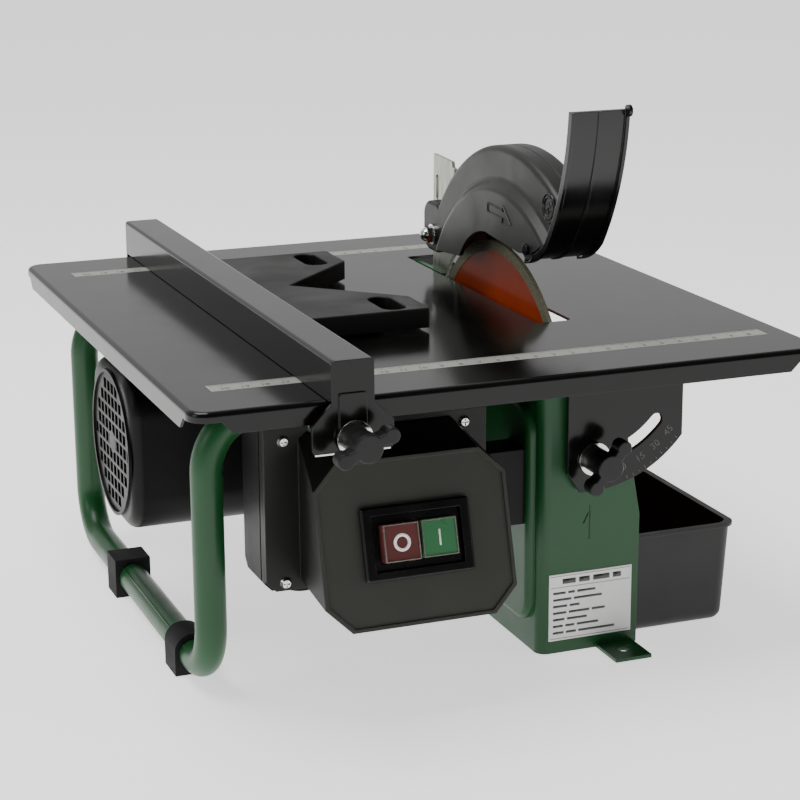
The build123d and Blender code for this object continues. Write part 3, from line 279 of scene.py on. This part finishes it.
# ---------------------------------------------------------------- guard and flap
# Two polypropylene halves screwed together over the blade, and a glossy flap pinned to the front.
guard_plastic = skin("guard_polypropylene", "151513", "55554f", 0.4, 0.7, 0.035, Specular_IOR_Level=0.45)
flap_plastic = skin("flap_polypropylene", "060606", "333331", 0.2, 1.2, 0.015)
wear(["guard_left", "guard_right"], guard_plastic)
wear(["splash_flap", "flap_pin"], flap_plastic)

# ---------------------------------------------------------------- switch box
# Black ABS box beside the motor with a black hood, whose sloping face is painted lighter grey as a painted
# highlight for the light falling on it.
# The switch's frame clips into the hood and holds a dusty red and a green button.
SLOPE = radians(16.3)
outward = Vector((0, -cos(SLOPE), sin(SLOPE)))
hood = skin("switch_hood_abs", "10110e", "55564c", 0.42, 0.8, 0.045, Specular_IOR_Level=0.3)
tree = hood.node_tree
shader = tree.nodes["Principled BSDF"]
# Painted highlight: faces turned like the sloping face get a lighter grey, standing in for the light that
# falls on it.
shape = add(tree, "ShaderNodeNewGeometry")
facing = add(tree, "ShaderNodeVectorMath", {"operation": "DOT_PRODUCT", 1: outward},
             {0: shape.outputs["Normal"]})
lit_face_mask = add(tree, "ShaderNodeMapRange", {"From Min": 0.97, "From Max": 0.995},
            {"Value": facing.outputs["Value"]})
hood_colour = shader.inputs["Base Color"].links[0].from_socket
painted_lit_face = add(tree, "ShaderNodeMix", {"data_type": "RGBA", 7: linear("3c3d38")},
           {0: lit_face_mask.outputs["Result"], 6: hood_colour})
tree.links.new(painted_lit_face.outputs[2], shader.inputs["Base Color"])
wear(["switch_cover"], hood)
wear(["switch_box", "fan_cover", "cooling_fan"],
     skin("black_abs", "060606", "1c1c1b", 0.4, 0.9, 0.045, edge_wear_and_highlight=0.3, Specular_IOR_Level=0.2))
wear(["switch_bezel", "switch_module"],
     skin("bezel_abs", "050505", "2c2c2a", 0.25, 1.2, 0.015, Specular_IOR_Level=0.4))
wear(["stop_button"], skin("red_button", "552a28", "8c625e", 0.3, 1.2, 0.01))
wear(["start_button"], skin("green_button", "356b45", "7fb58a", 0.3, 1.2, 0.01))

# ---------------------------------------------------------------- motor
# Grey-painted aluminium barrel and end plates; inside, laminated steel and lacquered copper.
wear(["motor_shell", "front_shield", "rear_shield"],
     skin("motor_grey_paint", "131415", "3f4143", 0.34, 1.2, 0.04, Specular_IOR_Level=0.35))
laminated, tree, shader, place = start("laminated_core", Metallic=1.0, Roughness=0.45)
sheets = add(tree, "ShaderNodeTexWave", {"wave_type": "BANDS", "bands_direction": "X", "Scale": 100.0},
             {"Vector": place})
tone = add(tree, "ShaderNodeMix", {"data_type": "RGBA", 6: linear("4a4a4d"), 7: linear("7d7d80")},
           {0: sheets.outputs["Fac"]})
tree.links.new(tone.outputs[2], shader.inputs["Base Color"])
wear(["stator_core", "rotor_core"], laminated)
wear(["stator_windings"], steel("lacquered_copper", "a8552b", 0.35, 0.7, stretch=(3, 1, 1)))
wear(["run_capacitor"], skin("capacitor_can", "c9c8c2", "e0dfda", 0.4, 0.8, 0.02))

# ---------------------------------------------------------------- water tank
# A thin-walled tray moulded in grey-black polypropylene, matt inside and out; it stands loose
# under the blade.
wear(["water_tank"], skin("tank_polypropylene", "191a19", "50524f", 0.46, 0.6, 0.045, Specular_IOR_Level=0.4))

# ---------------------------------------------------------------- rulers
# Satin strips let into the table, printed with a tick for each millimetre and a figure for each
# centimetre, counted both ways from the blade.
wear(["ruler_front", "ruler_rear"],
     skin("satin_ruler", "94948d", "c8c8c2", 0.35, 0.6, 0.01, edge_wear_and_highlight=0.3))
ink = skin("black_print", "161616", "2a2a2a", 0.55, 0.6, 0.01)


def apply(thing):
    """Puts an object's place, turn and size into its mesh."""
    deselect()
    thing.select_set(True)
    bpy.context.view_layer.objects.active = thing
    bpy.ops.object.transform_apply(location=True, rotation=True, scale=True)
    return thing


def modify(thing, kind, **settings):
    """Adds a modifier and applies it."""
    deselect()
    thing.select_set(True)
    bpy.context.view_layer.objects.active = thing
    modifier = thing.modifiers.new(kind.title(), kind)
    for name, value in settings.items():
        setattr(modifier, name, value)
    bpy.ops.object.modifier_apply(modifier=modifier.name)
    return thing


def join(parts):
    """Joins objects into the first one."""
    deselect()
    for part in parts:
        part.select_set(True)
    bpy.context.view_layer.objects.active = parts[0]
    bpy.ops.object.join()
    return apply(parts[0])


def bar(centre, size, bevel):
    """Thin bar with its edges broken."""
    deselect()
    bpy.ops.mesh.primitive_cube_add(size=1.0, location=centre)
    made = bpy.context.object
    made.scale = size
    return modify(apply(made), "BEVEL", width=bevel, segments=2)


def figures(text, size, depth):
    """Raised figures as a mesh, lying flat at the origin, centred."""
    deselect()
    bpy.ops.object.text_add()
    made = bpy.context.object
    made.data.body = text
    made.data.size = size
    made.data.extrude = depth
    made.data.resolution_u = 2
    made.data.align_x, made.data.align_y = "CENTER", "CENTER"
    bpy.ops.object.convert(target="MESH")
    return made


def finish(piece, name, body, material, angle=40):
    """Names a piece, gives it its material and smooth faces, and lets it ride on its body."""
    piece.name = name
    piece.data.name = name
    piece.data.materials.clear()
    piece.data.materials.append(material)
    deselect()
    piece.select_set(True)
    bpy.context.view_layer.objects.active = piece
    bpy.ops.object.shade_smooth_by_angle(angle=radians(angle))
    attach(piece, body)
    return piece


rim_low, rim_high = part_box("diamond_rim")
blade_x = (rim_low.x + rim_high.x) / 2
proud = 0.03 * MM
margin = 1.0 * MM
for side in ("front", "rear"):
    low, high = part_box("ruler_" + side)
    tick_base = high.y - 0.4 * MM
    parts = []
    for step, length in ((1, 1.6), (5, 2.6), (10, 3.6)):
        first = blade_x - int((blade_x - low.x - margin) / (step * MM)) * step * MM
        count = int((high.x - margin - first) / (step * MM)) + 1
        tick = bar((first, tick_base - length * MM / 2, high.z + proud / 2), (0.24 * MM, length * MM, proud),
                   proud / 4)
        parts.append(modify(tick, "ARRAY", count=count, use_relative_offset=False, use_constant_offset=True,
                            constant_offset_displace=(step * MM, 0, 0)))
    for cm in range(-20, 9):
        place_x = blade_x + cm * 10 * MM
        if low.x + 3 * MM < place_x < high.x - 3 * MM:
            figure = figures(str(abs(cm)), 4.8 * MM, proud / 2)
            figure.location = (place_x, low.y + 3.4 * MM, high.z + proud / 2)
            parts.append(apply(figure))
    finish(join(parts), "ruler_print_" + side, "table", ink)

# ---------------------------------------------------------------- quadrant scale
# Stamped in each quadrant beside its slot: a tick every five degrees, figures at 0, 15, 30 and 45.
hinge = Vector(next(joint["pos_m"] for joint in frame["joints"] if joint["name"] == "table_tilt"))
stamp = skin("stamped_scale", "3c3c39", "7a7a74", 0.3, 1.0, 0.02)
SCALE_START, SCALE_SPAN = -71, 29
for side, sign in (("front", -1), ("rear", 1)):
    low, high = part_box("quadrant_" + side)
    face_y = low.y if sign < 0 else high.y
    parts = []
    for degrees in range(0, 46, 5):
        around = radians(SCALE_START + degrees * SCALE_SPAN / 45)
        outwards = Vector((cos(around), 0, sin(around)))
        figured = degrees % 15 == 0
        length = 2.6 * MM if figured else 1.6 * MM
        spot = hinge + outwards * (67.3 * MM - length / 2)
        tick = bar((0, 0, 0), (0.45 * MM, length, 0.16 * MM), 0.05 * MM)
        tick.matrix_world = (Matrix.Translation((spot.x, face_y, spot.z))
                             @ Matrix.Rotation(-around + pi / 2, 4, "Y") @ Matrix.Rotation(pi / 2, 4, "X"))
        parts.append(apply(tick))
        if figured:
            spot = hinge + outwards * 60.5 * MM
            figure = figures(str(degrees), 5.6 * MM, 0.1 * MM)
            turn = Matrix.Rotation(pi if sign > 0 else 0, 4, "Z") @ Matrix.Rotation(pi / 2, 4, "X")
            lean = Matrix.Rotation(-(around + pi / 2), 4, "Y")
            figure.matrix_world = Matrix.Translation((spot.x, face_y, spot.z)) @ lean @ turn
            parts.append(apply(figure))
    finish(join(parts), "angle_scale_" + side, "table", stamp)

# ---------------------------------------------------------------- leg seam
# The tube's long weld stands as a fine raised line under the paint, on the upper left of its
# bottom run; the rubber feet hide it where they clasp the tube.
TUBE_R, BEND_R, BEAD, SEAM_ANGLE = 8.0 * MM, 30.0 * MM, 0.9 * MM, radians(42)
green_coat = nodes["leg_tube"].data.materials[0]
leg_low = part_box("leg_tube")[0]
front_low, front_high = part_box("foot_front")
rear_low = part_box("foot_rear")[0]
seam_x = leg_low.x + TUBE_R - TUBE_R * sin(SEAM_ANGLE)
seam_z = leg_low.z + TUBE_R + TUBE_R * cos(SEAM_ANGLE)
beads = []
for near, far in ((leg_low.y + TUBE_R + BEND_R, front_low.y), (front_high.y, rear_low.y)):
    beads.append(bar((seam_x, (near + far) / 2, seam_z), (BEAD, far - near - 1.0 * MM, BEAD), 0.3 * MM))
finish(join(beads), "leg_seam", "base", green_coat)

# ---------------------------------------------------------------- marks on the guard
# Moulded in glossy raised lines: an outlined arrow for the blade's turning, on the left panel,
# and a plain roundel on the left flank near the front.
panel_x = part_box("guard_left")[0].x


def raised_line(points, radius):
    """Closed raised line through points, as a mesh."""
    curve = bpy.data.curves.new("line", "CURVE")
    curve.dimensions = "3D"
    curve.bevel_depth = radius
    curve.bevel_resolution = 2
    spline = curve.splines.new("POLY")
    spline.points.add(len(points) - 1)
    for spot, point in zip(spline.points, points):
        spot.co = (*point, 1)
    spline.use_cyclic_u = True
    made = bpy.data.objects.new("line", curve)
    bpy.context.scene.collection.objects.link(made)
    deselect()
    made.select_set(True)
    bpy.context.view_layer.objects.active = made
    bpy.ops.object.convert(target="MESH")
    return bpy.context.object


arrow = [(-26.0, 56.2), (-46.0, 55.0), (-46.4, 57.6), (-56.5, 49.0), (-45.6, 48.2), (-45.8, 50.9),
         (-26.0, 51.6)]
outline = raised_line([(panel_x, y * MM, z * MM) for y, z in arrow], 0.6 * MM)
finish(outline, "turning_arrow", "guard", flap_plastic)

centre = Vector((blade_x - 10.0 * MM, -90.5 * MM, 63.5 * MM))
rings = []
for radius in (7.4, 5.6):
    deselect()
    bpy.ops.mesh.primitive_torus_add(location=centre, rotation=(0, pi / 2, 0), major_radius=radius * MM,
                                     minor_radius=0.6 * MM, major_segments=40, minor_segments=8)
    rings.append(apply(bpy.context.object))
for turn in range(3):
    spoke = bar((0, 0, 0), (0.6 * MM, 0.9 * MM, 6.4 * MM), 0.15 * MM)
    spoke.matrix_world = Matrix.Translation(centre) @ Matrix.Rotation(turn * pi / 3, 4, "X")
    rings.append(apply(spoke))
finish(join(rings), "guard_roundel", "guard", flap_plastic)

# ---------------------------------------------------------------- button caps and marks
# Each button carries its mark, a white ring for off and a bar for on, under a clear cap whose
# rim stands as a thin frame round the colour.
upright = Vector((0, sin(SLOPE), cos(SLOPE)))
on_face = Matrix((Vector((1, 0, 0)), upright, outward)).transposed().to_4x4()
white_print = skin("white_print", "e9e9e4", "ffffff", 0.4, 1.0, 0.01)
clear_cap, tree, shader, place = start("clear_cap", Roughness=0.2, Transmission_Weight=0.25, IOR=1.49,
                                       Base_Color=linear("8d847d"))
smudge = add(tree, "ShaderNodeTexNoise", {"Scale": 1 / (4 * MM), "Detail": 4.0}, {"Vector": place})
haze = add(tree, "ShaderNodeMapRange", {"To Min": 0.1, "To Max": 0.4}, {"Value": smudge.outputs["Fac"]})
tree.links.new(haze.outputs["Result"], shader.inputs["Roughness"])


def on_button(thing, node):
    """Sets a piece made flat at the origin against a button's sloping face."""
    low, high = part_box(node)
    middle = (low + high) / 2
    reach = max((vertex.co - middle).dot(outward) for vertex in nodes[node].data.vertices)
    thing.matrix_world = Matrix.Translation(middle + outward * reach) @ on_face
    return apply(thing)


for node in ("stop_button", "start_button"):
    low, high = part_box(node)
    deselect()
    bpy.ops.mesh.primitive_plane_add(size=high.x - low.x - 0.4 * MM)
    frame_piece = bpy.context.object
    bpy.ops.object.mode_set(mode="EDIT")
    bpy.ops.mesh.select_all(action="SELECT")
    bpy.ops.mesh.inset(thickness=0.55 * MM)
    bpy.ops.mesh.delete(type="FACE")
    bpy.ops.object.mode_set(mode="OBJECT")
    modify(frame_piece, "SOLIDIFY", thickness=0.5 * MM, offset=1.0)
    modify(frame_piece, "BEVEL", width=0.15 * MM, segments=2)
    finish(on_button(frame_piece, node), node + "_frame", node, clear_cap)
deselect()
bpy.ops.mesh.primitive_torus_add(major_radius=3.6 * MM, minor_radius=0.8 * MM, major_segments=48,
                                 minor_segments=10)
ring = bpy.context.object
ring.scale = (1, 1, 0.35)
finish(on_button(apply(ring), "stop_button"), "stop_mark", "stop_button", white_print)
dash = bar((0, 0, 0), (0.9 * MM, 8.0 * MM, 0.35 * MM), 0.15 * MM)
finish(on_button(dash, "start_button"), "start_mark", "start_button", white_print)

# ---------------------------------------------------------------- rating sticker
# A foil sticker on the housing's front, with plain bars and ruled lines in place of words; each
# printed bar is a sliver of ink on its face.
wear(["rating_label"], skin("foil_sticker", "d8d8d6", "eeeeec", 0.45, 1.5, 0.01))
low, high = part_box("rating_label")
width, tall = high.x - low.x, high.z - low.z
face_y, depth = low.y, 0.04 * MM


def print_bar(left, up_by, long, thick_mm):
    """Printed bar on the sticker, from fractions of its width and height."""
    return bar((low.x + width * (left + long / 2), face_y - depth / 2, low.z + tall * up_by),
               (width * long, depth, thick_mm * MM), depth / 4)


lines = [print_bar(0.02, at, 0.96, 0.3) for at in (0.03, 0.80, 0.97)]
title_words = ((0.16, 0.16), (0.36, 0.13), (0.53, 0.20), (0.77, 0.10))
title = [print_bar(left, 0.885, long, 2.8) for left, long in title_words]
rows = []
for row, words in enumerate(((0.15, 0.08, 0.22), (0.22, 0.34), (0.17, 0.12), (0.16, 0.25, 0.16), (0.14, 0.24),
                             (0.12, 0.11, 0.26), (0.13, 0.12, 0.44))):
    left = 0.05
    for long in words:
        rows.append(print_bar(left, 0.715 - 0.1 * row, long, 1.3))
        left += long + 0.03
finish(join(lines + title + rows), "sticker_print", "base",
       skin("grey_print", "55585a", "77797a", 0.5, 0.8, 0.01))
